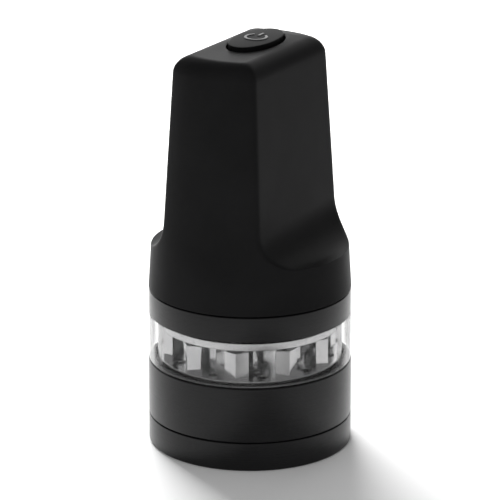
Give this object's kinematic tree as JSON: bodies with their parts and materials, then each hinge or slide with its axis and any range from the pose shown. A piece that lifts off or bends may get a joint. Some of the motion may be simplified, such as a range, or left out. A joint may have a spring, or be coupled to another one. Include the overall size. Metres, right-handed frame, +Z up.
{
  "type": "electric herb grinder",
  "caption": "Hand-held battery herb and spice grinder: black grip with two flats and an oval button on top, clear grinding chamber, turned metal rings and a screw-on collection cup.",
  "frame": {"origin": "centre of the cup's flat base, at the bottom of the grinder", "axes": "+Z up along the axis of the rings and the rotor, Y along the grip's long way with the charging port on +Y, the grip's two flats facing +X and -X"},
  "size_m": [0.06, 0.06, 0.1223],
  "materials": {
    "anodised_black": "satin black anodised, fine turned",
    "bare_aluminium": "machined, bright",
    "soft_touch": "satin black soft-touch moulding",
    "button_black": "satin black moulding",
    "clear_plastic": "clear moulded plastic",
    "steel": "plain steel",
    "bronze": "sintered bronze",
    "nylon": "moulded nylon",
    "frame_plastic": "moulded, matt",
    "seal_rubber": "matt rubber",
    "magnet": "sintered ferrite",
    "copper": "enamelled copper windings",
    "cell_wrap": "shrink sleeve",
    "circuit_board": "solder mask",
    "switch_black": "moulded",
    "wire_red": "wire insulation",
    "wire_black": "wire insulation",
    "white_plastic": "moulded, translucent"
  },
  "bodies": {
    "cup": {"collection_cup": "anodised_black"},
    "chamber": {"mid_body": "anodised_black", "screen_ring": "steel", "screen_mesh": "steel", "grinding_plate": "bare_aluminium", "clear_ring": "clear_plastic"},
    "head": {"upper_ring": "anodised_black", "compound_axle": "steel", "gearbox_screw_1": "steel", "gearbox_screw_2": "steel", "gearbox_screw_3": "steel", "housing_screw_1": "steel", "housing_screw_2": "steel", "housing_screw_3": "steel", "motor_can": "steel", "motor_screw_1": "steel", "motor_screw_2": "steel", "battery_tab_negative": "steel", "battery_tab_positive": "steel", "usb_socket": "steel", "switch_board_screw_1": "steel", "switch_board_screw_2": "steel", "head_seal": "seal_rubber", "shaft_seal": "seal_rubber", "motor_end_cap": "nylon", "lower_bush": "bronze", "upper_bush": "bronze", "gearbox_base": "frame_plastic", "gearbox_cover": "frame_plastic", "battery_cradle": "frame_plastic", "motor_magnet_left": "magnet", "motor_magnet_right": "magnet", "battery_cell": "cell_wrap", "main_board": "circuit_board", "switch_board": "circuit_board", "tact_switch": "switch_black", "motor_lead_red": "wire_red", "battery_lead_red": "wire_red", "motor_lead_black": "wire_black", "battery_lead_black": "wire_black", "charge_light": "white_plastic", "switch_lead": "white_plastic", "housing": "soft_touch"},
    "rotor": {"grinding_rotor": "bare_aluminium", "rotor_screw": "steel", "output_shaft": "steel", "output_gear": "nylon"},
    "compound": {"compound_gear": "nylon"},
    "motor_rotor": {"motor_shaft": "steel", "motor_pinion": "bronze", "motor_armature": "copper"},
    "button": {"power_button": "button_black", "switch_plunger": "switch_black"}
  },
  "joints": [
    {"name": "chamber_lift", "type": "slide", "parent": "cup", "child": "chamber", "axis": [0, 0, 1], "range_m": [0, 0.03]},
    {"name": "head_lift", "type": "slide", "parent": "chamber", "child": "head", "axis": [0, 0, 1], "range_m": [0, 0.06]},
    {"name": "rotor_spin", "type": "hinge", "parent": "head", "child": "rotor", "pos_m": [0, 0, 0.037], "axis": [0, 0, 1], "continuous": true},
    {"name": "compound_spin", "type": "hinge", "parent": "head", "child": "compound", "pos_m": [0.012, -0.01074, 0.05], "axis": [0, 0, 1], "continuous": true},
    {"name": "motor_spin", "type": "hinge", "parent": "head", "child": "motor_rotor", "pos_m": [0, -0.011, 0.07], "axis": [0, 0, 1], "continuous": true},
    {"name": "button_press", "type": "slide", "parent": "head", "child": "button", "axis": [0, 0, -1], "range_m": [0, 0.0008], "stiffness_N_per_m": 600, "springref_m": -0.002}
  ],
  "couplings": [
    {"joint": "compound_spin", "follows": "rotor_spin", "ratio": -2.8333},
    {"joint": "motor_spin", "follows": "rotor_spin", "ratio": 8.5}
  ]
}
